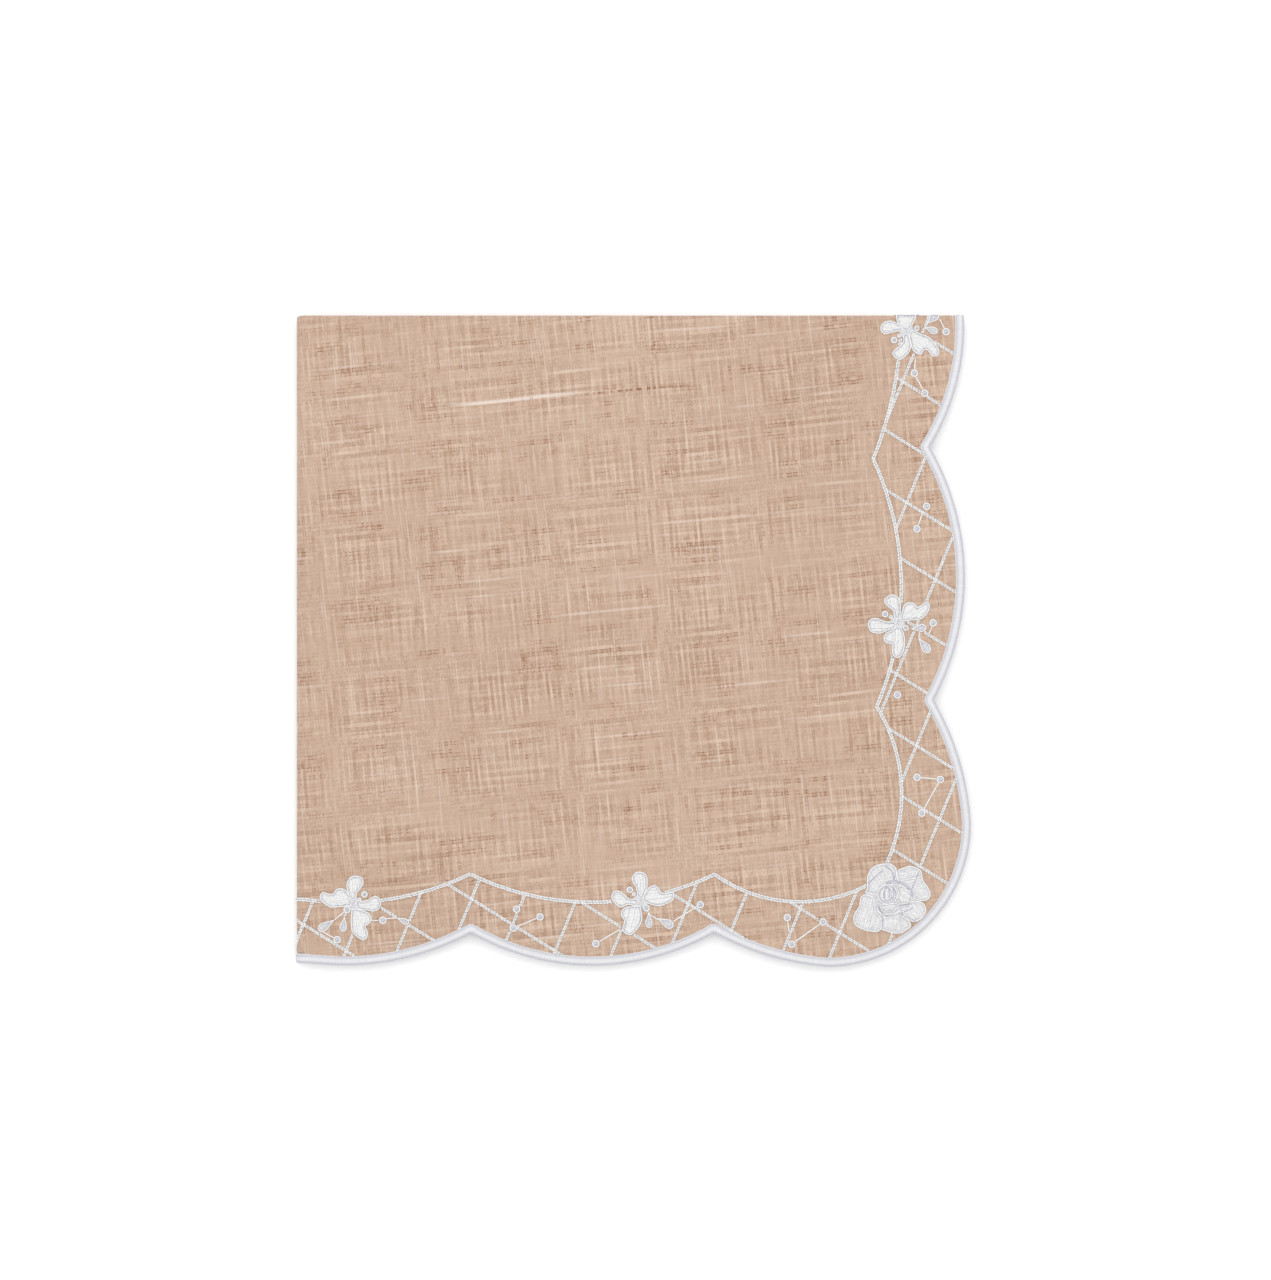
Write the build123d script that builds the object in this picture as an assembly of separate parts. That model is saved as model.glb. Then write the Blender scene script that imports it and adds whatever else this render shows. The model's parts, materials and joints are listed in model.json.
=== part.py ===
from build123d import *
import os
from math import cos, sin, radians, atan2, degrees, hypot

# An embroidered linen dinner napkin, folded in quarters and lying flat.
# Millimetres, +Z up. Origin: bottom centre of the folded stack.
# The left side (-X) is the side fold, the back side (+Y) is the top fold,
# and the scalloped free edges are at +X and -Y.

# ---- Driving dimensions -------------------------------------------------
FOLDED_X = 225.4          # folded width, side fold to the scalloped edge
FOLDED_Y = 217.6          # folded depth, top fold to the scalloped edge
CLOTH = 0.5               # linen thickness
EDGE_WIDTH = 3.2          # satin-stitched edge
EDGE_THICK = 1.3
RAISED = 0.35             # height of the embroidery above the cloth
THREAD = 1.0              # width of the stitched lines
STEM = 0.8                # width of the stems between knots
KNOT_R = 1.25
MID_Z = EDGE_THICK * 2 + 0.75      # height of the side fold's hinge line
OUTER_LAYER = 2.7         # outer layers' distance from the hinge line
INNER_LAYER = 1.1         # inner layers' distance from the hinge line

HALF_X, HALF_Y = FOLDED_X / 2, FOLDED_Y / 2
TOP_FOLD_R = (OUTER_LAYER - INNER_LAYER) / 2
HINGE_X = -HALF_X + OUTER_LAYER + EDGE_THICK / 2
TOP_Y = HALF_Y - TOP_FOLD_R - EDGE_THICK / 2
TOP_FOLD_Z = (OUTER_LAYER + INNER_LAYER) / 2

# Layer name: height of its middle above the hinge line, and which way its
# right side faces (+1 up, -1 down).
LAYERS = {
    "back": (-OUTER_LAYER, -1),
    "back_inner": (-INNER_LAYER, 1),
    "front_inner": (INNER_LAYER, -1),
    "front": (OUTER_LAYER, 1),
}

# Scalloped edge of one quarter, from the side fold round the corner to the
# top fold: end, middle, end, middle, ... of each arc.
CORNER_R = 47.9
CORNER_X, CORNER_Y = HALF_X - CORNER_R, -HALF_Y + CORNER_R
DIAGONAL = CORNER_R * cos(radians(45))
EDGE_ARCS = [
    (HINGE_X, -107.6), (-105.0, -107.85), (-100.0, -108.25),
    (-80.0, -106.8), (-54.0, -97.6),
    (-13.5, -108.4), (27.0, -97.5),
    (46.0, -105.4), (CORNER_X, -HALF_Y),
    (CORNER_X + DIAGONAL, CORNER_Y - DIAGONAL), (HALF_X, CORNER_Y),
    (109.0, -40.0), (100.3, -19.8),
    (110.7, 21.2), (99.0, 64.5),
    (108.1, 86.0), (110.4, TOP_Y),
]
# Stitched border line, the same way round.
LINE_ARCS = [
    (HINGE_X, -86.3), (-82.7, -86.4), (-54.3, -77.8),
    (-14.0, -87.2), (27.2, -77.9),
    (53.0, -87.0), (82.0, -79.2),
    (89.5, -52.0), (81.2, -22.0),
    (89.4, 19.0), (80.0, 60.5),
    (87.0, 84.0), (89.3, TOP_Y),
]

# Lattice between the two: two families of slanting lines.
FALLING_ANGLE = -31.8
FALLING_SIDE = (-16.0, 19.75)      # first height on the Y axis, and step
FALLING_FRONT = (-54.7, -21.6)
RISING_ANGLE = 67.7
RISING_LINES = [-71.0, -53.2, -36.2, -18.5, -1.3, 16.5, 35.7, 54.4, 72.4, 92.4, 108.8, 126.6]  # on the X axis

# Rose at the corner: centre and half sizes of each petal.
ROSE_OUTER = [
    (82.8, -80.0, 4.8, 5.5), (93.3, -81.6, 5.7, 6.3), (78.2, -91.3, 5.3, 6.2),
    (87.7, -93.6, 5.4, 4.0), (94.0, -90.2, 3.7, 4.1), (86.0, -86.5, 6.5, 6.5),
]
ROSE_MIDDLE = (86.0, -86.0, 6.0)
ROSE_HEART = (84.9, -84.6, 3.3)

# Flower sprigs: centre, then petals as (direction, length, width), buds as
# (x, y, x, y, half width) and dots as (x, y).
SPRIGS = [
    ((-93.3, -87.8),
     [(86, 9.4, 5.3), (172, 11.2, 5.6), (4, 9.0, 6.0), (-74, 12.4, 6.0)],
     [(-99.7, -93.2, -104.4, -96.2, 1.5), (-96.4, -92.6, -96.6, -96.8, 1.4)],
     [(-89.7, -84.6), (-95.4, -89.8)]),
    ((2.6, -86.8),
     [(91, 9.7, 5.0), (177, 9.7, 5.6), (8, 11.0, 6.0), (-110, 11.8, 6.2)],
     [(5.4, -91.4, 5.4, -95.8, 1.4), (8.9, -93.2, 13.2, -95.8, 1.6)],
     [(-1.2, -83.2), (4.6, -89.0)]),
    ((88.2, 5.7),
     [(104, 9.9, 5.0), (180, 9.9, 5.4), (30, 12.2, 6.2), (-94, 11.2, 6.0)],
     [(94.6, 3.9, 97.8, 4.8, 1.5), (95.4, 0.2, 98.6, -4.0, 1.6)],
     [(83.8, 8.8)]),
    ((91.2, 102.9),
     [(88, 9.0, 6.4), (170, 9.0, 5.0), (-105, 9.8, 5.6), (-42, 12.6, 5.6)],
     [(97.4, 104.4, 101.6, 103.0, 1.5)],
     [(86.6, 99.9)]),
]

# Knots, and the stems that join some of them.
KNOTS = [
    (93.7, 89.1), (97.2, 82.4), (97.8, 44.7), (94.6, 37.2), (88.1, -18.1),
    (94.6, -45.6), (102.4, -46.3), (96.2, -57.5), (104.3, 102.9), (100.0, 5.9),
    (22.4, -88.0), (63.3, -93.8), (52.9, -101.2), (51.4, -92.3), (-31.0, -92.1),
    (-39.9, -95.8), (-38.8, -89.5), (-12.4, -101.0), (-98.6, -99.7), (-83.4, -93.2),
]
STEMS = [
    (93.7, 89.1, 97.2, 82.4), (94.6, 37.2, 96.7, 43.0), (94.6, -45.6, 102.4, -46.3),
    (102.4, -46.3, 96.2, -57.5), (104.3, 102.9, 102.2, 107.0), (22.4, -88.0, 13.5, -93.6),
    (63.3, -93.8, 52.9, -101.2), (51.4, -92.3, 52.0, -97.0), (-31.0, -92.1, -39.9, -95.8),
    (-12.4, -101.0, -4.2, -96.2), (-98.6, -99.7, -103.5, -97.0),
]


# ---- Plan shapes of one quarter ----------------------------------------
def arcs_face(points):
    """The area between a row of arcs and the two fold lines."""
    arcs = [ThreePointArc(*points[i:i + 3]) for i in range(0, len(points) - 2, 2)]
    corner = (HINGE_X, TOP_Y)
    sides = [Line(points[-1], corner), Line(corner, points[0])]
    return make_face(arcs + sides)


def inset(points, distance):
    """A row of arcs moved towards the fold lines, its corners kept sharp."""
    arcs = [ThreePointArc(*points[i:i + 3]) for i in range(0, len(points) - 2, 2)]
    moved = [(points[0][0], points[0][1] + distance)]
    for i, arc in enumerate(arcs):
        inward = (arc % 0.5).rotate(Axis.Z, 90)
        middle = Vector(*points[2 * i + 1]) + inward * distance
        moved.append((middle.X, middle.Y))
        if i + 1 < len(arcs):
            before = (arc % 1).rotate(Axis.Z, 90)
            after = (arcs[i + 1] % 0).rotate(Axis.Z, 90)
            both = (before + after).normalized()
            joint = Vector(*points[2 * i + 2]) + both * (distance / both.dot(before))
            moved.append((joint.X, joint.Y))
    return moved + [(points[-1][0] - distance, points[-1][1])]


def strip(x1, y1, x2, y2, width):
    """A straight stitched line between two points."""
    length = hypot(x2 - x1, y2 - y1)
    angle = degrees(atan2(y2 - y1, x2 - x1))
    return Pos((x1 + x2) / 2, (y1 + y2) / 2) * Rot(0, 0, angle) * Rectangle(length, width)


def petal(x, y, direction, length, width):
    """One oval petal that starts at a point and lies in a direction."""
    turn = radians(direction)
    middle = Pos(x + cos(turn) * length / 2, y + sin(turn) * length / 2)
    return middle * Rot(0, 0, direction) * Ellipse(length / 2, width / 2)


def bud(x1, y1, x2, y2, half_width):
    """One oval bud between its two ends, a little longer than their distance."""
    length = hypot(x2 - x1, y2 - y1) + half_width
    angle = degrees(atan2(y2 - y1, x2 - x1))
    return Pos((x1 + x2) / 2, (y1 + y2) / 2) * Rot(0, 0, angle) * Ellipse(length / 2, half_width)


def joined(shapes):
    """Several plan shapes as one."""
    return shapes[0] + shapes[1:]


def edge_and_field():
    """The satin-stitched edge, and the cloth inside it."""
    field = arcs_face(inset(EDGE_ARCS, EDGE_WIDTH))
    return arcs_face(EDGE_ARCS) - field, field


def border_line(field):
    """The stitched line, and the border of cloth outside it."""
    outer = arcs_face(inset(LINE_ARCS, -THREAD / 2))
    inner = arcs_face(inset(LINE_ARCS, THREAD / 2))
    return outer - inner, field - outer


def falling_lines():
    """Lattice lines that fall to the right: one grid by the side, one in front."""
    reach = FOLDED_X
    lines = []
    for (first, step), count in ((FALLING_SIDE, 10), (FALLING_FRONT, 6)):
        for k in range(count):
            lines.append(Pos(0, first + step * k) * Rot(0, 0, FALLING_ANGLE)
                         * Rectangle(reach * 2, THREAD))
    return joined(lines)


def rising_lines():
    """Lattice lines that rise to the right."""
    return joined([Pos(place, 0) * Rot(0, 0, RISING_ANGLE) * Rectangle(FOLDED_Y * 2, THREAD)
                   for place in RISING_LINES])


def rose():
    """Heart, inner petals and outer petals, each cut out of the next."""
    heart = Pos(*ROSE_HEART[:2]) * Circle(ROSE_HEART[2])
    middle = Pos(*ROSE_MIDDLE[:2]) * Circle(ROSE_MIDDLE[2])
    outer = joined([Pos(x, y) * Ellipse(a, b) for x, y, a, b in ROSE_OUTER])
    return heart, middle - heart, outer - middle


def sprigs():
    """Petals, and buds with dots, of all four sprigs."""
    petals = joined([petal(*centre, *one) for centre, leaves, _, _ in SPRIGS for one in leaves])
    buds = joined([bud(*one) for _, _, pods, _ in SPRIGS for one in pods]
                  + [Pos(*dot) * Circle(KNOT_R * 0.9) for *_, dots in SPRIGS for dot in dots])
    return petals, buds


def knots():
    """Round knots and their stems."""
    return joined([Pos(*knot) * Circle(KNOT_R) for knot in KNOTS]
                  + [strip(*stem, STEM) for stem in STEMS])


def plan_shapes():
    """Every flat shape of one quarter, none overlapping another."""
    edge, field = edge_and_field()
    line, border = border_line(field)
    heart, inner_petals, outer_petals = rose()
    petals, buds = sprigs()
    stitched = [
        ("rose_heart", heart), ("rose_inner_petals", inner_petals),
        ("rose_outer_petals", outer_petals & field), ("sprig_petals", petals & field),
        ("sprig_buds", buds), ("knots", knots() & field), ("border_line", line),
        ("lattice_falling", falling_lines() & border),
        ("lattice_rising", rising_lines() & border),
    ]
    shapes, taken = {}, None
    for name, shape in stitched:
        shapes[name] = shape if taken is None else shape - taken
        taken = shape if taken is None else taken + shape
    return edge, field, shapes


# ---- Solids --------------------------------------------------------------
def slab(shape, low, high):
    """A flat shape as a solid between two heights above the floor."""
    return Pos(0, 0, low) * extrude(shape, high - low, dir=(0, 0, 1))


def layer_solids(name, edge, field, shapes):
    """One quarter of the napkin: cloth, satin edge and embroidery."""
    height, facing = LAYERS[name]
    middle = MID_Z + height
    export(slab(field, middle - CLOTH / 2, middle + CLOTH / 2), name + "_cloth")
    export(slab(edge, middle - EDGE_THICK / 2, middle + EDGE_THICK / 2), name + "_satin_edge")
    surface = middle + facing * CLOTH / 2
    low, high = sorted((surface, surface + facing * RAISED))
    for part_name, shape in shapes.items():
        export(slab(shape, low, high), name + "_" + part_name)


def half_ring(radius, thickness):
    """Half an annulus in the YZ plane, bulging to +Y, about its own centre."""
    ring = Circle(radius + thickness / 2) - Circle(radius - thickness / 2)
    half = ring & (Pos(radius + thickness, 0) * Rectangle((radius + thickness) * 2, radius * 4))
    return Plane.YZ * half


def top_turn(height, thickness, x_start, x_end):
    """Cloth or edge turned over at the top fold, between two places along it."""
    section = Pos(x_start, TOP_Y, MID_Z + height) * half_ring(TOP_FOLD_R, thickness)
    return extrude(section, x_end - x_start, dir=(1, 0, 0))


def side_turn(radius, thickness, y_start, y_end):
    """Cloth or edge turned over at the side fold, between two places along it."""
    ring = Circle(radius + thickness / 2) - Circle(radius - thickness / 2)
    half = ring & (Pos(-radius - thickness, 0) * Rectangle((radius + thickness) * 2, radius * 4))
    section = Pos(HINGE_X, y_start, MID_Z) * (Plane((0, 0, 0), x_dir=(1, 0, 0), z_dir=(0, -1, 0)) * half)
    return extrude(section, y_end - y_start, dir=(0, 1, 0))


def fold_corner():
    """The folded corner, where the top fold itself turns over the side fold."""
    section = Pos(HINGE_X, TOP_Y, MID_Z - TOP_FOLD_Z) * half_ring(TOP_FOLD_R, CLOTH)
    hinge_line = Axis((HINGE_X, 0, MID_Z), (0, 1, 0))
    return revolve(section, axis=hinge_line, revolution_arc=180)


def export(shape, name):
    export_step(shape, "parts/" + name + ".step")


def main():
    os.makedirs("parts", exist_ok=True)
    edge, field, shapes = plan_shapes()
    for name in LAYERS:
        layer_solids(name, edge, field, shapes)

    edge_x = EDGE_ARCS[-1][0]
    for half, height in (("lower", -TOP_FOLD_Z), ("upper", TOP_FOLD_Z)):
        export(top_turn(height, CLOTH, HINGE_X, edge_x - EDGE_WIDTH), half + "_top_fold")
        export(top_turn(height, EDGE_THICK, edge_x - EDGE_WIDTH, edge_x), half + "_top_edge_turn")

    edge_y = EDGE_ARCS[0][1]
    export(side_turn(OUTER_LAYER, CLOTH, edge_y + EDGE_WIDTH, TOP_Y), "side_fold_outer")
    export(side_turn(INNER_LAYER, CLOTH, edge_y + EDGE_WIDTH, TOP_Y), "side_fold_inner")
    export(side_turn(OUTER_LAYER, EDGE_THICK, edge_y, edge_y + EDGE_WIDTH), "side_edge_turn_outer")
    export(side_turn(INNER_LAYER, EDGE_THICK, edge_y, edge_y + EDGE_WIDTH), "side_edge_turn_inner")
    export(fold_corner(), "fold_corner")


main()
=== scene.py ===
"""An embroidered linen dinner napkin, folded in quarters: the look of its cloth and of its needlework.

The needlework is laid out on the open cloth and folded up with it. A place on the open cloth is
(across, up, out) in millimetres: across from the side fold, up from the top fold, and out of the
right side of the cloth. The front quarter, which lies on top, has across above 0 and up below 0.
"""

import json
import math

import bpy
import numpy as np
from bpy.props import FloatProperty, FloatVectorProperty, PointerProperty
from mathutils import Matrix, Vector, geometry


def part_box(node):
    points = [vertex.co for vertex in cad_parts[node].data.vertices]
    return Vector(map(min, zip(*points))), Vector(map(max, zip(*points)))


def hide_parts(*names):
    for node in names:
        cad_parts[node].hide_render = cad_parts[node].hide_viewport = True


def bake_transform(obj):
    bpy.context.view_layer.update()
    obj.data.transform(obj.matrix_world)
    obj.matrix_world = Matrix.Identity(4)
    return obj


bl_info = {
    "name": "Embroidered Napkin",
    "version": (1, 0, 0),
    "blender": (4, 5, 0),
    "location": "3D View > Sidebar > Napkin",
    "description": "Makes a folded linen napkin with a satin-stitched scalloped edge and whitework border",
    "category": "Mesh",
}

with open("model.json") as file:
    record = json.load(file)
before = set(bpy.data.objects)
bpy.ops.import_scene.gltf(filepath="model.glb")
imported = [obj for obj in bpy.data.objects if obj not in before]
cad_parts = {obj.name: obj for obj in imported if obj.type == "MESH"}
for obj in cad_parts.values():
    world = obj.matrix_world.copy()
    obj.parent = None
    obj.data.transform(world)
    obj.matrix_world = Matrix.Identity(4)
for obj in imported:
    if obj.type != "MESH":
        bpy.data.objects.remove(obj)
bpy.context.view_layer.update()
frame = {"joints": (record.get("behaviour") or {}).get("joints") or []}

MM = 0.001


def node_box(name):
    """Lowest and highest corner of a node, in millimetres."""
    low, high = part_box(name)
    return np.array(low) / MM, np.array(high) / MM


# ---- The fold, from the frame ----------------------------------------------
HINGE = frame["joints"][0]
HINGE_X, HINGE_Z = HINGE["pos_m"][0] / MM, HINGE["pos_m"][2] / MM
CLOTH_LOW, CLOTH_HIGH = node_box("front_cloth")
INNER_LOW, INNER_HIGH = node_box("front_inner_cloth")
TOP_Y = CLOTH_HIGH[1]
CLOTH = CLOTH_HIGH[2] - CLOTH_LOW[2]
OUTER_LAYER = (CLOTH_LOW[2] + CLOTH_HIGH[2]) / 2 - HINGE_Z
INNER_LAYER = (INNER_LOW[2] + INNER_HIGH[2]) / 2 - HINGE_Z
TOP_FOLD_R = (OUTER_LAYER - INNER_LAYER) / 2
TOP_FOLD_D = (OUTER_LAYER + INNER_LAYER) / 2
SIDE_TURN = math.pi * OUTER_LAYER / 2      # half the cloth that turns over the side fold
TOP_TURN = math.pi * TOP_FOLD_R / 2        # half the cloth that turns over the top fold
EDGE_LOW, EDGE_HIGH = node_box("front_satin_edge")
EDGE_THICK = EDGE_HIGH[2] - EDGE_LOW[2]
EDGE_WIDTH = EDGE_HIGH[0] - CLOTH_HIGH[0]
HALF_X, HALF_Y = EDGE_HIGH[0], -EDGE_LOW[1]
FACE = CLOTH / 2                           # the cloth's right side, out from its middle

# ---- Outlines of one quarter, millimetres in the frame's X and Y -------------
# Arcs in a row: end, middle, end, middle, ... from the side fold round to the top fold.
CORNER_R = 47.9
CORNER_X, CORNER_Y = HALF_X - CORNER_R, -HALF_Y + CORNER_R
DIAGONAL = CORNER_R * math.cos(math.radians(45))
EDGE_ARCS = [
    (HINGE_X, -107.6), (-105.0, -107.85), (-100.0, -108.25),
    (-80.0, -106.8), (-54.0, -97.6),
    (-13.5, -108.4), (27.0, -97.5),
    (46.0, -105.4), (CORNER_X, -HALF_Y),
    (CORNER_X + DIAGONAL, CORNER_Y - DIAGONAL), (HALF_X, CORNER_Y),
    (109.0, -40.0), (100.3, -19.8),
    (110.7, 21.2), (99.0, 64.5),
    (108.1, 86.0), (110.4, TOP_Y),
]
LINE_ARCS = [
    (HINGE_X, -86.3), (-82.7, -86.4), (-54.3, -77.8),
    (-14.0, -87.2), (27.2, -77.9),
    (53.0, -87.0), (82.0, -79.2),
    (89.5, -52.0), (81.2, -22.0),
    (89.4, 19.0), (80.0, 60.5),
    (87.0, 84.0), (89.3, TOP_Y),
]

# Lattice lines: their direction in degrees, and where they cross an axis.
FALLING_ANGLE, RISING_ANGLE = -31.8, 67.7
FALLING_GRIDS = [(-16.0, 19.75, 10), (-54.7, -21.6, 6)]   # on Y: first, step, count
RISING_LINES = [-71.0, -53.2, -36.2, -18.5, -1.3, 16.5, 35.7, 54.4, 72.4, 92.4, 108.8, 126.6]   # on X

# The rose: outlines of its petals about its centre.
ROSE = (86.0, -85.8)
ROSE_OUTER = [
    (118, [(-4.7, 1), (-7, 1.5), (-8.7, 1.7), (-8, 3.7), (-8, 7), (-6.7, 9.7), (-4.7, 11), (-2, 11.5),
           (0.3, 11.3), (1.8, 9.7), (1.8, 6.7), (1, 4.7), (-2.3, 4), (-3.7, 2.7)]),
    (10, [(2, 9), (4, 10), (6.3, 10.8), (8.7, 10), (10, 9), (10.7, 6), (12, 4), (13, 2), (12.8, 0),
          (11, -1), (8, -0.5), (6.7, 2), (4.7, 4), (2.3, 5.7)]),
    (75, [(-8.7, 1.2), (-10.3, 0), (-10.7, -2.7), (-12, -4.7), (-12.7, -7), (-12, -9), (-10, -10.3),
          (-7.7, -11), (-5, -11.3), (-3.3, -10.3), (-3.3, -6.7), (-5, -4.7), (-5.3, -2), (-6, 0.3)]),
    (95, [(-3.3, -6.7), (-3.3, -10.3), (-1.7, -11), (0.3, -11.7), (3, -11.8), (4.7, -11), (6.7, -9.3),
          (6, -7.7), (3.7, -5.7), (2.7, -4), (0.3, -6), (-1.7, -6.3)]),
    (-50, [(6.7, -1.3), (9.3, -1), (11, -2), (11.7, -4), (10.7, -6.3), (8.7, -7.7), (6.3, -7.7),
           (4, -5.3), (4, -3.7), (6, -3)]),
]
ROSE_INNER = [
    (-30, [(2, 4), (4, 4), (6, 2.7), (7, 0.7), (6.7, -1.3), (4.7, -2), (2.7, -1.7), (2, 0), (2.3, 2)]),
    (-30, [(-2.3, 4.7), (-0.3, 5.8), (2.3, 5.8), (5, 4.5), (7, 2.3), (5.7, 2.3), (3.3, 4), (0.7, 4.5),
           (-1.3, 4)]),
    (15, [(-4.7, -2.7), (-3.7, -4.7), (-1.7, -5.3), (0.7, -4.3), (2.7, -3), (5.7, -2.3), (7, -2.3),
          (6, -3.7), (3.7, -4.7), (1.7, -6), (-0.7, -6.7), (-3, -6), (-4.7, -4.3)]),
    (10, [(-3.7, -2), (-1.7, -2), (0.7, -1.7), (2.7, -2), (2, -3.3), (0.3, -4.3), (-1.7, -4.8), (-3.3, -4)]),
]
ROSE_HEART, HEART_R = (84.8, -84.6), 3.4
ROSE_GROUND_R = 8.7                        # the stitched ground under its petals
# Contours over the rose in painted shade, lavender-grey threads for the shade along its petals' grooves:
# width, then points about its centre.
ROSE_LINES = [
    (0.34, [(-7.6, 4.9), (-5.2, 7.2), (-2.9, 9.2)]),
    (0.42, [(-1.9, 10.6), (0.6, 9.0), (0.9, 6.4)]),
    (0.34, [(9.1, 8.4), (7.8, 5.2), (6.8, 2.9)]),
    (0.60, [(-1.8, 5.0), (0.4, 5.9), (2.8, 5.5), (5.1, 4.2), (6.8, 2.4), (7.1, 0.4)]),
    (0.34, [(-2.9, -6.3), (-3.0, -10.1)]),
    (0.34, [(4.1, -4.6), (2.8, -6.8), (1.8, -9.1), (1.4, -11.1)]),
    (0.34, [(4.8, -6.1), (6.8, -7.2), (8.6, -8.0)]),
    (0.50, [(-4.6, -2.9), (-3.5, -5.1), (-1.4, -6.3), (0.8, -6.1), (3.0, -5.0), (5.2, -4.0), (7.2, -3.4)]),
    (0.36, [(-3.4, -3.3), (-1.9, -4.7), (-0.3, -4.7), (1.2, -3.7), (2.6, -2.8), (4.8, -2.3), (6.8, -2.2)]),
]
# Painted shade lines over the heart, as for the rose.
HEART_LINES = [
    (0.55, [(-2.3, 0.0), (-2.4, 2.3), (-2.1, 3.8), (-1.3, 4.2), (-0.6, 3.6), (-0.6, 1.8), (-0.7, 0.0)]),
    (0.34, [(0.7, 3.6), (1.1, 1.8), (0.6, 0.0), (-0.8, -1.2), (-2.4, -1.0)]),
]
SPRIG_GROUND_R = 2.5

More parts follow.
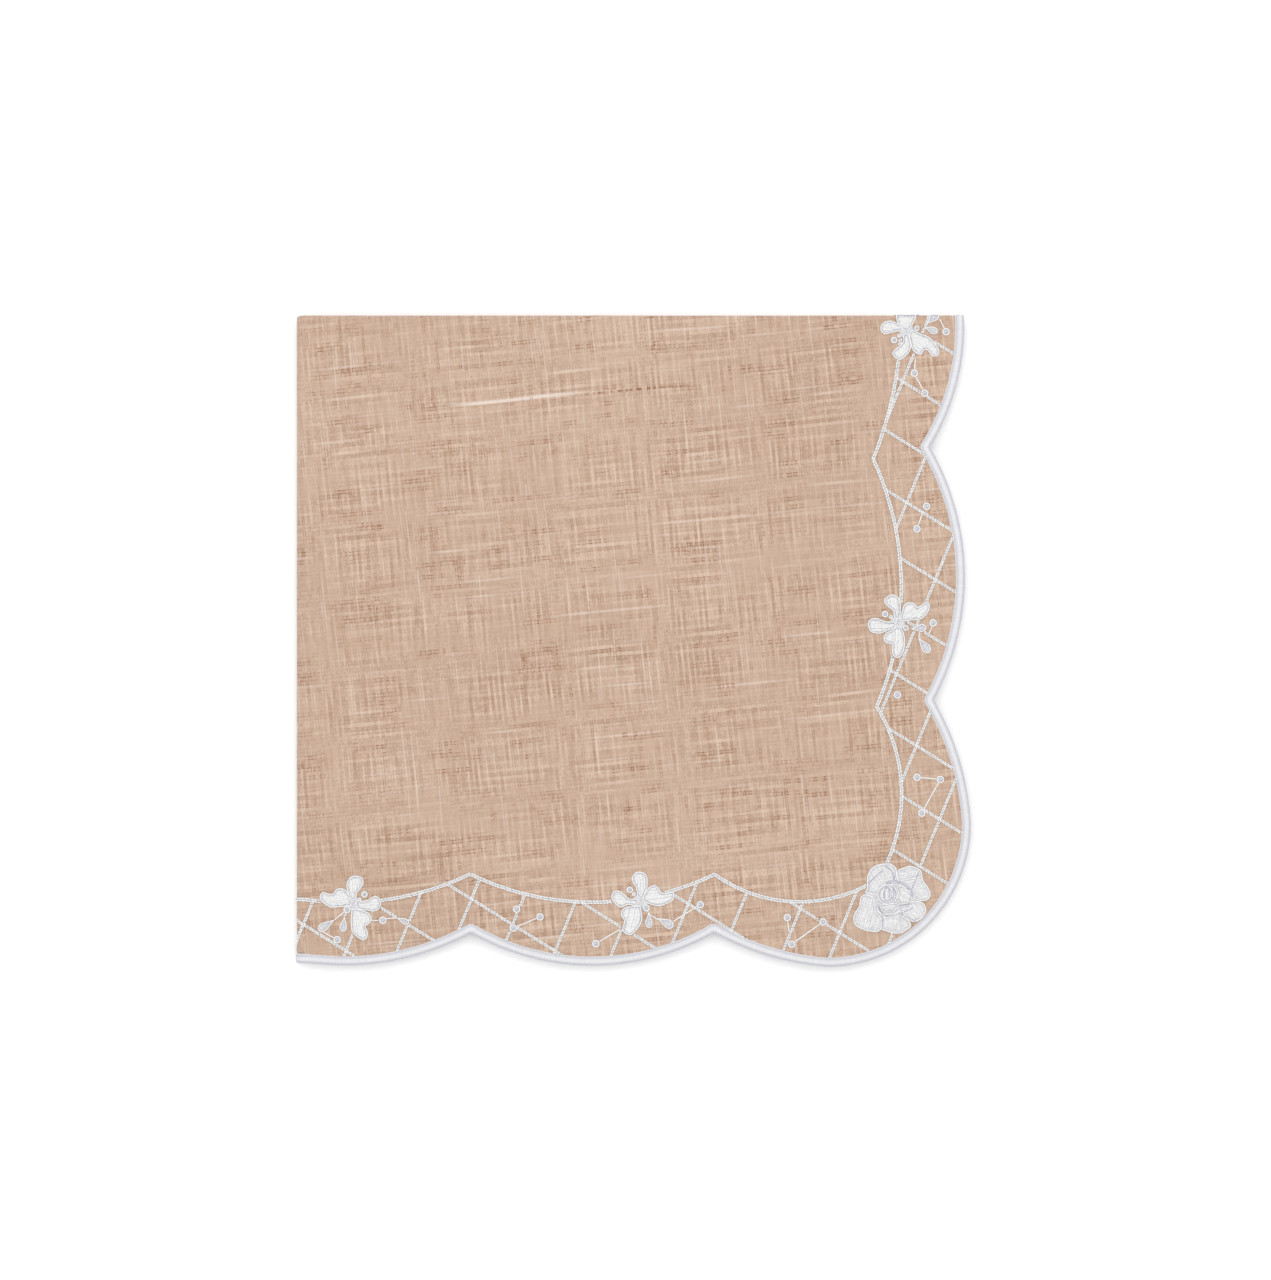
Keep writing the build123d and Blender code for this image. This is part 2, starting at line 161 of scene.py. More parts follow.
# The sprigs, by their place on the cloth: centre; petals as (stitch direction, outline about the centre);
# stamens as (x, y, radius); buds as (tail x, tail y, tip x, tip y, half width).
SPRIGS = {
    "by_side_fold": ((-93.3, -87.8), [
        (86, [(-1, 1.3), (-1.7, 3.7), (-2.2, 6), (-1.7, 8), (-0.3, 9.2), (1.7, 9.3), (3, 8.7), (3.5, 7),
              (2.7, 5.3), (1.3, 3.7), (1, 1.7)]),
        (172, [(-0.3, -0.3), (-1, 2.3), (-2, 4.3), (-4, 5.3), (-5.7, 4.8), (-6.5, 3.5), (-8.3, 3.5), (-10, 4),
               (-11, 2.7), (-10.7, 1), (-9, -0.3), (-7.3, -1.2), (-4.3, -1), (-1.7, -0.7)]),
        (3, [(1.3, 1.3), (3.3, 1), (5.7, 1.8), (7.2, 2.8), (8.7, 2), (9.3, 0.3), (8.7, -1.7), (7, -2.5),
             (5, -2.2), (3, -2), (1.3, -1.3)]),
        (-80, [(-0.3, -1.7), (-0.7, -4), (-0.7, -7), (-0.3, -9.3), (1, -10.7), (2.7, -11.8), (4.3, -11.7),
               (5, -10), (4.5, -8.3), (4.2, -7.3), (5.7, -6.3), (6.2, -4.7), (5.3, -3), (3.7, -2.3),
               (1.7, -1.7)]),
    ], [(3.8, 3.2, 1.1), (2.2, 1.5, 0.7), (-2.0, -1.9, 1.2)],
     [(-6.2, -5.3, -11.6, -8.8, 1.4), (-2.8, -4.2, -3.4, -9.2, 1.2), (14.6, -4.6, 18.6, -6.4, 1.0)]),
    "front": ((2.6, -86.8), [
        (92, [(-0.8, 1), (-1.3, 2.7), (-1.7, 4.7), (-2.7, 6.2), (-3, 7.7), (-2.3, 9), (-1, 9.7), (0.7, 9.5),
              (2, 8.3), (2.3, 6.7), (2.2, 4.7), (1.5, 2.7), (0.7, 1)]),
        (178, [(-1, -0.7), (-1.3, 0.7), (-3.7, 0.8), (-5.3, 2), (-7, 3.3), (-8.7, 3.3), (-9.7, 2),
               (-9.7, 0.7), (-8.5, -1), (-6.7, -2.2), (-4.3, -1.3), (-1.7, -1.7)]),
        (8, [(0.7, 1.3), (1.7, 3.3), (3, 4.8), (4.7, 5.3), (6, 4.3), (6.7, 3), (8.7, 2.7), (10.3, 3.3),
             (11.2, 2.2), (10.7, 0.3), (9, -0.8), (6.3, -1.7), (3.7, -1.3), (1.3, -0.3)]),
        (-102, [(-2.3, -1.7), (-4.7, -2), (-6.3, -3), (-6.7, -4.7), (-5.7, -6.2), (-5.7, -7.7), (-6.3, -9.3),
                (-5.3, -10.8), (-3.3, -11.3), (-1.7, -10), (-0.3, -8.3), (0.5, -6), (0.3, -3.7),
                (-0.3, -1.7)]),
    ], [(-3.7, 3.7, 1.1), (-2.3, 2.3, 0.7), (1.8, -2.3, 1.2)],
     [(2.7, -3.7, 2.7, -9.0, 1.2), (5.8, -5.8, 10.8, -8.6, 1.5)]),
    "side": ((88.2, 5.7), [
        (104, [(0.5, 1.5), (-1.2, 2.1), (-1.5, 4.1), (-2.9, 5.3), (-4.2, 6.5), (-4.4, 8.1), (-3.2, 9.1),
               (-1.9, 9.6), (-0.2, 9.1), (0.8, 7.8), (1.1, 5.8), (1, 3.5)]),
        (180, [(-0.9, 0.5), (-2.9, 0.6), (-4.9, 1), (-6.9, 1.8), (-8.9, 1.5), (-9.9, 0), (-9.5, -1.9),
               (-8.2, -3.2), (-5.9, -3.4), (-3.9, -2.7), (-1.9, -1.9), (-0.5, -1.2)]),
        (30, [(0.8, 1.5), (1.5, 4.1), (2.1, 6.1), (3.8, 7.1), (5.5, 6.6), (6.5, 5.5), (7.8, 6.1), (9.5, 7.3),
              (10.5, 6.5), (10.6, 4.8), (9.5, 2.8), (7.5, 1.3), (4.5, 1), (2.1, 0.8)]),
        (-92, [(-0.2, -0.9), (-1.9, -2.2), (-3.9, -3.2), (-4.7, -4.9), (-3.9, -6.5), (-1.9, -7), (-1.9, -8.9),
               (-1.7, -10.5), (-0.5, -11.5), (1.1, -10.9), (2.1, -8.9), (2.5, -6.2), (2.1, -3.5),
               (1.1, -1.5)]),
    ], [(-4.2, 3.1, 1.1), (-2.2, 2.1, 0.7), (2.7, -1.5, 1.0)],
     [(4.5, -1.9, 9.6, -1.3, 1.3), (7.0, -5.0, 10.6, -9.7, 1.5)]),
    "by_top_fold": ((91.2, 102.9), [
        (170, [(-1.5, 0.6), (-1.5, 2.2), (-3.2, 2.9), (-5.5, 3.7), (-7.5, 3.2), (-8.7, 1.6), (-8.5, 0.1),
               (-7.2, -0.9), (-5.2, -0.4), (-3.2, 0.1)]),
        (90, [(-1.2, 0.6), (-3.0, 2.9), (-3.5, 4.6), (-3.5, 9.2), (3.5, 9.2), (3.1, 4.9), (2.1, 2.6),
              (0.8, 0.6)]),
        (-105, [(0.5, -0.8), (-1.2, -1.1), (-1.2, -3.1), (-2.5, -4.8), (-4.2, -6.1), (-4.9, -7.4),
                (-3.5, -8.9), (-2.2, -9.4), (-0.5, -8.4), (0.8, -6.9), (1.5, -4.8), (1.1, -2.4)]),
        (-40, [(0.8, -1.1), (1.8, 0.6), (4.5, -0.6), (6.8, -1.4), (8.8, -3.1), (10.1, -4.8), (10.8, -6.4),
               (10.1, -8.1), (8.5, -8.1), (7.1, -6.4), (5.8, -6.1), (4.8, -7.6), (3.1, -7.3), (1.8, -5.8),
               (1.1, -3.4)]),
    ], [(-4.2, -2.8, 1.1), (-2.5, -1.4, 0.7), (3.4, 1.1, 0.9)],
     [(5.8, 1.7, 10.3, -0.2, 1.2), (6.6, 2.7, 10.6, 6.2, 1.4)]),
}

# Round knots, and the stems between them.
KNOTS = [
    (93.7, 89.1), (97.2, 82.4), (97.8, 44.7), (94.6, 37.2), (88.1, -18.1),
    (94.6, -45.6), (102.4, -46.3), (96.2, -57.5), (104.3, 102.9), (100.0, 5.9),
    (22.4, -88.0), (63.3, -93.8), (52.9, -101.2), (51.4, -92.3), (-31.0, -92.1),
    (-39.9, -95.8), (-38.8, -89.5), (-12.4, -101.0), (-98.6, -99.7), (-83.4, -93.2),
]
KNOT_R = 1.25
STEMS = [
    (93.7, 89.1, 97.2, 82.4), (94.6, 37.2, 96.7, 43.0), (94.6, -45.6, 102.4, -46.3),
    (102.4, -46.3, 96.2, -57.5), (104.3, 102.9, 102.2, 107.0), (22.4, -88.0, 13.5, -93.6),
    (63.3, -93.8, 52.9, -101.2), (51.4, -92.3, 52.0, -97.0), (-31.0, -92.1, -39.9, -95.8),
    (-12.4, -101.0, -4.2, -96.2), (-98.6, -99.7, -103.5, -97.0), (-99.5, -93.1, -96.2, -90.4),
    (-96.1, -92.0, -95.4, -90.4), (-87.1, -93.3, -84.8, -93.3), (-82.4, -92.7, -78.7, -92.4),
    (4.4, -89.4, 5.1, -90.6), (5.6, -91.4, 8.4, -93.0), (95.4, 2.8, 95.3, 0.4), (100.0, 5.4, 98.7, 2.2),
    (94.1, 93.8, 93.8, 90.2),
]
MOTIF_REACH = 16.0                         # no motif is wider than this from its middle

# ---- Stitches, millimetres -----------------------------------------------------
SHORTEST_LINE = 7                          # points in the shortest line worth stitching
LINE_STEP = 0.3                            # between points of a path that is stitched
# Double lines: half the gap between the two rows, pitch of their stitches, radius of their thread.
BORDER_LINE = (0.38, 1.05, 0.25)
LATTICE_LINE = (0.30, 1.05, 0.20)
FILL_SPACING, FILL_STITCH, FILL_HEIGHT = 0.32, 2.4, 0.20
RIM_PITCH, RIM_STITCH = 0.5, 1.0
# The satin edge across its width: places from its outer side, 0, to its inner side, 1, and the painted shade
# there, which stands in for the shading of the rounded cord.
SATIN_PLACES = [0.0, 0.14, 0.30, 0.46, 0.58, 0.70, 0.84, 1.0]
SATIN_PAINTED_SHADES = [1.0, 0.88, 0.48, 0.26, 0.36, 0.85, 0.95, 0.10]
# Painted shade on the cord's underside.
SATIN_UNDERSIDE_PAINTED_SHADE = 0.30


# ---- Plan geometry -----------------------------------------------------------
def arc_points(start, middle, end, step):
    """Points along the arc through three points, without its last point."""
    (ax, ay), (bx, by), (cx, cy) = start, middle, end
    double = 2 * (ax * (by - cy) + bx * (cy - ay) + cx * (ay - by))
    a2, b2, c2 = ax * ax + ay * ay, bx * bx + by * by, cx * cx + cy * cy
    ox = (a2 * (by - cy) + b2 * (cy - ay) + c2 * (ay - by)) / double
    oy = (a2 * (cx - bx) + b2 * (ax - cx) + c2 * (bx - ax)) / double
    radius = math.hypot(ax - ox, ay - oy)
    first = math.atan2(ay - oy, ax - ox)
    sweep = math.remainder(math.atan2(cy - oy, cx - ox) - first, math.tau)
    count = max(2, round(abs(sweep) * radius / step))
    turn = first + sweep * np.arange(count) / count
    return np.stack([ox + radius * np.cos(turn), oy + radius * np.sin(turn)], 1)


def arc_row(arcs, step):
    """Points along a row of arcs, both ends included."""
    rows = [arc_points(*arcs[i:i + 3], step) for i in range(0, len(arcs) - 2, 2)]
    return np.concatenate(rows + [np.array([arcs[-1]])])


def normals_left(points, closed=False):
    """Unit vectors to the left of a path at each of its points."""
    if closed:
        along = np.roll(points, -1, 0) - np.roll(points, 1, 0)
    else:
        along = np.gradient(points, axis=0)
    along /= np.maximum(np.linalg.norm(along, axis=1, keepdims=True), 1e-9)
    return np.stack([-along[:, 1], along[:, 0]], 1)


def lengths_along(path):
    """The length from the start of a path to each of its points."""
    return np.concatenate([[0], np.cumsum(np.linalg.norm(np.diff(path, axis=0), axis=1))])


def resample(points, step, closed=False):
    """The same path at even steps."""
    if closed:
        points = np.vstack([points, points[:1]])
    lengths = lengths_along(points)
    count = max(2, round(lengths[-1] / step))
    places = np.linspace(0, lengths[-1], count, endpoint=not closed)
    return np.stack([np.interp(places, lengths, points[:, i]) for i in (0, 1)], 1)


def signed_area(loop):
    """The area inside a closed outline, below 0 if the outline runs clockwise."""
    x, y = loop.T
    return 0.5 * np.sum(x * np.roll(y, -1) - y * np.roll(x, -1))


def smooth_loop(corners, step):
    """A smooth closed outline through a few points."""
    knots = np.array(corners, float)
    before, after, beyond = np.roll(knots, 1, 0), np.roll(knots, -1, 0), np.roll(knots, -2, 0)
    parts = []
    for i in range(len(knots)):
        t = np.linspace(0, 1, 8, endpoint=False)[:, None]
        tangent_in, tangent_out = (after[i] - before[i]) / 2, (beyond[i] - knots[i]) / 2
        parts.append((2 * t**3 - 3 * t**2 + 1) * knots[i] + (t**3 - 2 * t**2 + t) * tangent_in
                     + (3 * t**2 - 2 * t**3) * after[i] + (t**3 - t**2) * tangent_out)
    loop = np.concatenate(parts)
    if signed_area(loop) < 0:
        loop = loop[::-1]
    return resample(loop, step, closed=True)


def inside(points, loop):
    """Which points lie inside a closed outline."""
    x, y = points[:, 0][:, None], points[:, 1][:, None]
    x1, y1 = loop[:, 0], loop[:, 1]
    x2, y2 = np.roll(x1, -1), np.roll(y1, -1)
    crosses = ((y1 > y) != (y2 > y)) & (x < (x2 - x1) * (y - y1) / (y2 - y1 + 1e-12) + x1)
    return crosses.sum(1) % 2 == 1


def distance_to(points, loop):
    """Distance from each point to a closed outline."""
    best = np.full(len(points), 1e9)
    for p, q in zip(loop, np.roll(loop, -1, 0)):
        d = q - p
        t = np.clip(((points - p) @ d) / max(d @ d, 1e-12), 0, 1)
        best = np.minimum(best, np.linalg.norm(points - p - t[:, None] * d, axis=1))
    return best


def on_cloth(points):
    """Places in the frame's X and Y, on the open cloth's front quarter."""
    return points + np.array([SIDE_TURN - HINGE_X, -TOP_TURN - TOP_Y])


def to_fold_lines(path):
    """A quarter's path with its ends brought to the lines that the cloth is folded on."""
    path = path.copy()
    path[0, 0] = 0.0
    path[-1, 1] = 0.0
    return path


def all_round(edge):
    """A quarter's edge, mirrored to a closed outline of the whole open cloth."""
    edge = to_fold_lines(edge)
    return np.vstack([edge, (edge * [1, -1])[::-1][1:], (edge * [-1, -1])[1:], (edge * [-1, 1])[::-1][1:-1]])


def folded(places):
    """Where places on the open cloth come to lie when it is folded, and their share of the side fold."""
    across, up, out = places.T
    top = np.pi * np.clip((up + TOP_TURN) / (2 * TOP_TURN), 0, 1)
    y = TOP_Y + np.minimum(up + TOP_TURN, 0) - np.maximum(up - TOP_TURN, 0)
    y = y + (TOP_FOLD_R + out) * np.sin(top)
    away = TOP_FOLD_D + (TOP_FOLD_R + out) * np.cos(top)
    share = np.clip((SIDE_TURN - across) / (2 * SIDE_TURN), 0, 1)
    x = HINGE_X + np.maximum(np.abs(across) - SIDE_TURN, 0) - away * np.sin(np.pi * share)
    z = HINGE_Z + away * np.cos(np.pi * share)
    z = z + lift(x, y)
    return np.stack([x, y, z], 1) * MM, share


def lift(x, y):
    """The gentle waves in which the stack lies, in millimetres above flat."""
    settings = bpy.context.scene.napkin
    height = settings.waviness / MM
    wave = (np.sin(x / 31.0 + 0.7) * np.sin(y / 43.0 + 1.9) + 0.6 * np.sin(x / 17.0 - y / 23.0 + 0.4)
            + 0.4 * np.sin(x / 9.5 + y / 13.0))
    return height * (0.5 + 0.25 * wave)


# ---- Meshes ------------------------------------------------------------------
def slab(outline, low, high, grid=()):
    """A flat slab inside a closed outline, with a grid of points over it if given: its places and faces."""
    number = len(outline)
    corners = np.vstack([outline, grid]) if len(grid) else outline
    edges = [(i, (i + 1) % number) for i in range(number)]
    found, _, tris, *_ = geometry.delaunay_2d_cdt([tuple(p) for p in corners], edges, [], 1, 1e-4)
    flat = np.array([tuple(p) for p in found])
    tris = np.array([list(t) for t in tris if len(t) == 3])
    count = len(flat)
    ring = np.arange(number)
    after = np.roll(ring, -1)
    walls = np.column_stack([ring + count, after + count, after, ring])
    places = np.vstack([np.column_stack([flat, np.full(count, out)]) for out in (high, low)])
    return places, [tris, tris[:, ::-1] + count, walls]


class Needlework:
    """Threads and pads of one quarter, gathered and then laid on all four quarters."""

    def __init__(self):
        self.places, self.shade, self.thread, self.faces, self.count = [], [], [], [], 0

    def add(self, places, faces, shade, thread):
        """Adds points on the open cloth with their faces, shade and thread coordinates."""
        places = np.asarray(places, float).reshape(-1, 3)
        self.places.append(places)
        self.shade.append(np.broadcast_to(shade, len(places)).astype(float))
        self.thread.append(np.asarray(thread, float).reshape(-1, 3))
        self.faces += [np.asarray(f) + self.count for f in faces if len(f)]
        self.count += len(places)

    def threads(self, paths, width, height, shade=0.0, sides=6):
        """Stitches: paths (stitch, point, 3) of tubes that are width by height at each point."""
        paths = np.asarray(paths, float)
        if not len(paths):
            return
        stitches, points, _ = paths.shape
        width = np.broadcast_to(width, (stitches, points))
        height = np.broadcast_to(height, (stitches, points))
        along = np.gradient(paths, axis=1)
        along /= np.maximum(np.linalg.norm(along, axis=2, keepdims=True), 1e-9)
        flat = np.stack([-along[..., 1], along[..., 0], np.zeros((stitches, points))], 2)
        flat /= np.maximum(np.linalg.norm(flat, axis=2, keepdims=True), 1e-9)
        rise = np.cross(along, flat)
        turn = -math.pi / 2 + np.arange(sides) * math.tau / sides
        ring = (flat[:, :, None] * (np.cos(turn)[:, None] * width[:, :, None, None] / 2)
                + rise[:, :, None] * (np.sin(turn)[:, None] * height[:, :, None, None] / 2))
        places = paths[:, :, None] + ring
        steps = np.linalg.norm(np.diff(paths, axis=1), axis=2)
        travelled = np.concatenate([np.zeros((stitches, 1)), np.cumsum(steps, 1)], 1)
        thread = np.zeros(places.shape)
        thread[..., 0] = travelled[:, :, None]
        thread[..., 1] = np.arange(sides) / sides
        thread[..., 2] = np.random.default_rng(7).random(stitches)[:, None, None]
        number = np.arange(stitches * points * sides).reshape(stitches, points, sides)
        after = np.roll(number, -1, 2)
        walls = np.stack([number[:, :-1], after[:, :-1], after[:, 1:], number[:, 1:]], -1).reshape(-1, 4)
        caps = []
        for k in range(1, sides - 2, 2):
            caps.append(number[:, 0][:, [0, k + 2, k + 1, k]])
            caps.append(number[:, -1][:, [0, k, k + 1, k + 2]])
        # Painted shade: thread that dips below the cloth's face is greyed, for the shade it lies in.
        low = np.clip((FACE + 0.02 - places[..., 2]) / 0.2, 0, 1)
        tone = np.clip(np.asarray(shade) + 0.5 * low, 0, 1)
        self.add(places, [walls] + caps, tone.reshape(-1), thread)

    def pad(self, loop, out, thick, shade):
        """A flat pad inside a closed outline."""
        places, faces = slab(loop, out, out + thick)
        self.add(places, faces, shade, places * [1, 1, 0])

    def lay(self, name):
        """Makes the piece: the four quarters of this work, folded, in one mesh."""
        places = np.concatenate(self.places)
        quarters, faces = [], []
        for i, (mirror_across, mirror_up) in enumerate(((1, 1), (1, -1), (-1, 1), (-1, -1))):
            quarters.append(places * [mirror_across, mirror_up, 1])
            turned = mirror_across * mirror_up < 0
            faces += [(f[:, ::-1] if turned else f) + i * len(places) for f in self.faces]
        return make_piece(name, np.concatenate(quarters), faces, np.concatenate(self.shade * 4),
                          np.concatenate(self.thread * 4))


def make_piece(name, places, faces, shade, coordinates):
    """A mesh from places on the open cloth, folded."""
    points, share = folded(places)
    mesh = bpy.data.meshes.new(name)
    corners = np.concatenate([f.reshape(-1) for f in faces]).astype(np.int32)
    sizes = np.concatenate([np.full(len(f), f.shape[1], np.int32) for f in faces])
    mesh.vertices.add(len(points))
    mesh.vertices.foreach_set("co", points.astype(np.float32).ravel())
    mesh.loops.add(len(corners))
    mesh.loops.foreach_set("vertex_index", corners)
    mesh.polygons.add(len(sizes))
    mesh.polygons.foreach_set("loop_start", np.concatenate([[0], np.cumsum(sizes)[:-1]]).astype(np.int32))
    mesh.polygons.foreach_set("use_smooth", np.ones(len(sizes), bool))
    # shade is painted shade: from 0, white, to 1, lavender-grey, where the thread lies deep.
    mesh.attributes.new("shade", "FLOAT", "POINT").data.foreach_set("value", shade.astype(np.float32))
    mesh.attributes.new("lay", "FLOAT_VECTOR", "POINT").data.foreach_set(
        "vector", coordinates.astype(np.float32).ravel())
    mesh.update(calc_edges=True)
    mesh.validate()
    piece = bpy.data.objects.new(name, mesh)
    bpy.context.scene.collection.objects.link(piece)
    turn_with_fold(piece)
    return piece


def turn_with_fold(piece):
    """Bakes the piece's transform into its mesh."""
    reach = np.array([0, 0, OUTER_LAYER * MM])
    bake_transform(piece)


# ---- Materials ---------------------------------------------------------------
class Socket:
    """A node's output that can be used in sums. Numbers may stand on either side."""

    def __init__(self, tree, output):
        self.tree, self.output = tree, output

    def node(self, kind, settings=(), out=0, **inputs):
        """Adds a node and returns one of its outputs. A socket is given by name, or as i and its number."""
        made = self.tree.nodes.new(kind)
        for key, value in dict(settings).items():
            setattr(made, key, value)
        for key, value in inputs.items():
            socket = made.inputs[int(key[1:]) if key[1:].isdigit() else key.replace("_", " ")]
            if isinstance(value, Socket):
                self.tree.links.new(value.output, socket)
            else:
                socket.default_value = value
        return Socket(self.tree, made.outputs[out])

    def maths(self, operation, *values):
        """One operation on numbers, each plain or from a node."""
        sockets = {f"i{i}": value for i, value in enumerate(values)}
        return self.node("ShaderNodeMath", {"operation": operation}, **sockets)

    def __add__(self, other):
        return self.maths("ADD", self, other)

    def __radd__(self, other):
        return self.maths("ADD", other, self)

    def __sub__(self, other):
        return self.maths("SUBTRACT", self, other)

    def __rsub__(self, other):
        return self.maths("SUBTRACT", other, self)

    def __mul__(self, other):
        return self.maths("MULTIPLY", self, other)

    def __rmul__(self, other):
        return self.maths("MULTIPLY", other, self)

    def __truediv__(self, other):
        return self.maths("DIVIDE", self, other)

    def __gt__(self, other):
        return self.maths("GREATER_THAN", self, other)

    def size(self):
        """Its distance from zero."""
        return self.maths("ABSOLUTE", self)

    def sin(self):
        return self.maths("SINE", self)

    def floor(self):
        return self.maths("FLOOR", self)

    def clamp(self, low, high):
        """This value from low to high, as 0 to 1."""
        return self.node("ShaderNodeMapRange", {"clamp": True}, i0=self, i1=low, i2=high, i3=0.0, i4=1.0)

    def mix(self, colour_a, colour_b):
        """A colour between two, by this value."""
        return self.node("ShaderNodeMix", {"data_type": "RGBA"}, out=2, i0=self, i6=colour_a, i7=colour_b)

    def sibling(self, number):
        """Another output of the same node."""
        return Socket(self.tree, self.output.node.outputs[number])

    def between(self, low, high):
        """A value between two, by this value."""
        return self.node("ShaderNodeMix", {"data_type": "FLOAT"}, i0=self, i2=low, i3=high)

    def vector(self, x, y, z):
        """A place from three values."""
        return self.node("ShaderNodeCombineXYZ", i0=x, i1=y, i2=z)

    def noise(self, scale, detail=2.0, roughness=0.5):
        """Noise at this place."""
        return self.node("ShaderNodeTexNoise", {"noise_dimensions": "3D"}, i0=self, Scale=scale,
                         Detail=detail, Roughness=roughness)

    def stretched(self, x, y, z=1.0):
        """This place with its axes multiplied."""
        return self.node("ShaderNodeVectorMath", {"operation": "MULTIPLY"}, i0=self, i1=(x, y, z))


def new_material(name):
    """A material, its shader, and a start for sums."""
    material = bpy.data.materials.new(name)
    material.use_nodes = True
    tree = material.node_tree
    return material, tree.nodes["Principled BSDF"], Socket(tree, None)


def join(shader, start, **inputs):
    """Links sums to the shader's sockets, and sets the plain numbers."""
    for name, value in inputs.items():
        socket = shader.inputs[name.replace("_", " ")]
        if isinstance(value, Socket):
            start.tree.links.new(value.output, socket)
        else:
            socket.default_value = value


def opaque(colour):
    """A colour with full alpha, as colour sockets take it."""
    return (*colour, 1.0)


def linen_material():
    """Coarse plain-weave linen: threads of uneven tone, with painted shade at their sides, pale slubs, dark
    dashes in rows that are painted shade in the gaps between threads, smoother patches.
    """
    settings = bpy.context.scene.napkin
    material, shader, start = new_material("linen_weave")
    place = start.node("ShaderNodeAttribute", {"attribute_name": "lay"}, out="Vector")
    place = start.node("ShaderNodeVectorRotate", {"rotation_type": "Z_AXIS"}, i0=place,
                       Angle=-settings.weave_angle)
    # Threads drift a little from the straight.
    drift = place.noise(0.02, 1.0)
    split = start.node("ShaderNodeSeparateXYZ", i0=place)
    x = split + (drift - 0.5) * 2.0
    y = split.sibling(1) + (drift - 0.5) * 1.8
    side = split.sibling(2)
    warp, weft = x / (settings.warp_pitch / MM), y / (settings.weft_pitch / MM)
    warp_wave, weft_wave = (warp * math.pi).sin(), (weft * math.pi).sin()
    warp_round, weft_round = warp_wave * warp_wave, weft_wave * weft_wave
    over = (warp_wave * weft_wave).clamp(-0.3, 0.3)

    def along_warp(seed, reach, spread=1.0, before=0.0):
        """Noise that differs from warp to warp and changes slowly along each."""
        return x.vector((warp.floor() - before) * spread, y / reach, side + seed).noise(1.0, 2.0)

    def along_weft(seed, reach, spread=1.0, before=0.0):
        """Noise that differs from weft to weft and changes slowly along each."""
        return x.vector(x / reach, (weft.floor() - before) * spread, side + seed).noise(1.0, 2.0)

    def tone(along, seed, reach):
        """How much lighter a thread is than half the tone of the thread before it."""
        own, before = (along(seed, reach, before=count).clamp(0.32, 0.68) for count in (0.0, 1.0))
        return own - 0.5 * before - 0.25

    depth = 0.40 + 0.56 * x.vector(x / 22.0, y / 13.0, side).noise(1.0, 2.0).clamp(0.36, 0.56)
    crossing = over.between(weft_round, warp_round)
    grain = place.noise(1.5, 2.0, 0.5)
    light = tone(along_warp, 1.0, 24.0) * 0.72 + tone(along_weft, 5.0, 38.0) * 0.62
    # Painted shade of the weave: each thread lighter on its crown and darker at its sides, through crossing;
    # the threads' own tone, the grain and the broad noise are real colour.
    light = light + (crossing - 0.5) * 0.26 + (grain - 0.5) * 1.15
    light = 0.48 + light * depth + (place.noise(0.013, 1.0) - 0.5) * 0.40
    base = light.clamp(0.0, 1.0).mix(opaque(settings.linen_shadow), opaque(settings.linen_lit))
    patches = place.noise(0.035, 2.0).clamp(0.35, 0.65)
    base = (patches * 0.25).mix(base, opaque(settings.linen_light))
    # Pale thick threads, and rows of dark dashes, painted shade in the gaps where the threads stand apart.
    pale = along_warp(11.0, 28.0, 0.9).clamp(0.54, 0.74) * warp_round
    pale = pale + along_weft(17.0, 38.0, 0.9).clamp(0.60, 0.76) * weft_round
    dash = x.vector(x / 0.8, weft.floor() * 0.73, side + 23.0).noise(1.0, 1.0).clamp(0.44, 0.60)
    dashes = along_weft(23.0, 28.0).clamp(0.53, 0.60) * (1.1 - weft_round) * dash
    dot = x.vector(warp.floor() * 0.73, y / 0.7, side + 29.0).noise(1.0, 1.0).clamp(0.42, 0.60)
    dots = along_warp(29.0, 14.0).clamp(0.56, 0.64) * (1.1 - warp_round) * dot
    dark = (dashes + dots * 0.8) * place.noise(0.07, 1.0).clamp(0.36, 0.52)
    # One long slub, with a row of dashes of painted shade running on from it.
    slub_x, slub_y = (value / MM for value in settings.slub)
    near = (side > 0.0) * (1.0 - ((y - slub_y) / 0.75).size()).clamp(0.0, 0.6)
    pale = pale + near * 1.8 * x.clamp(slub_x - 8.0, slub_x + 2.0) * x.clamp(slub_x + 44.0, slub_x + 26.0)
    below = (side > 0.0) * (1.0 - ((y - slub_y + 0.8) / 0.5).size()).clamp(0.0, 0.6) * dash
    dark = dark + below * x.clamp(slub_x + 30.0, slub_x + 44.0) * x.clamp(slub_x + 80.0, slub_x + 60.0)
    base = (pale * 0.52).clamp(0.0, 1.0).mix(base, opaque(settings.linen_pale))
    # The dark dashes mix in the painted shade of the gaps.
    base = (dark * 0.80).clamp(0.0, 1.0).mix(base, opaque(settings.linen_fleck))
    height = crossing * depth + pale * 0.5 - dark * 0.5
    bump = start.node("ShaderNodeBump", Strength=0.4, Distance=0.00022, Height=height)
    join(shader, start, Base_Color=base, Normal=bump, Roughness=0.92, Sheen_Weight=0.2, Sheen_Roughness=0.6)
    shader.inputs["Specular IOR Level"].default_value = 0.15
    return material


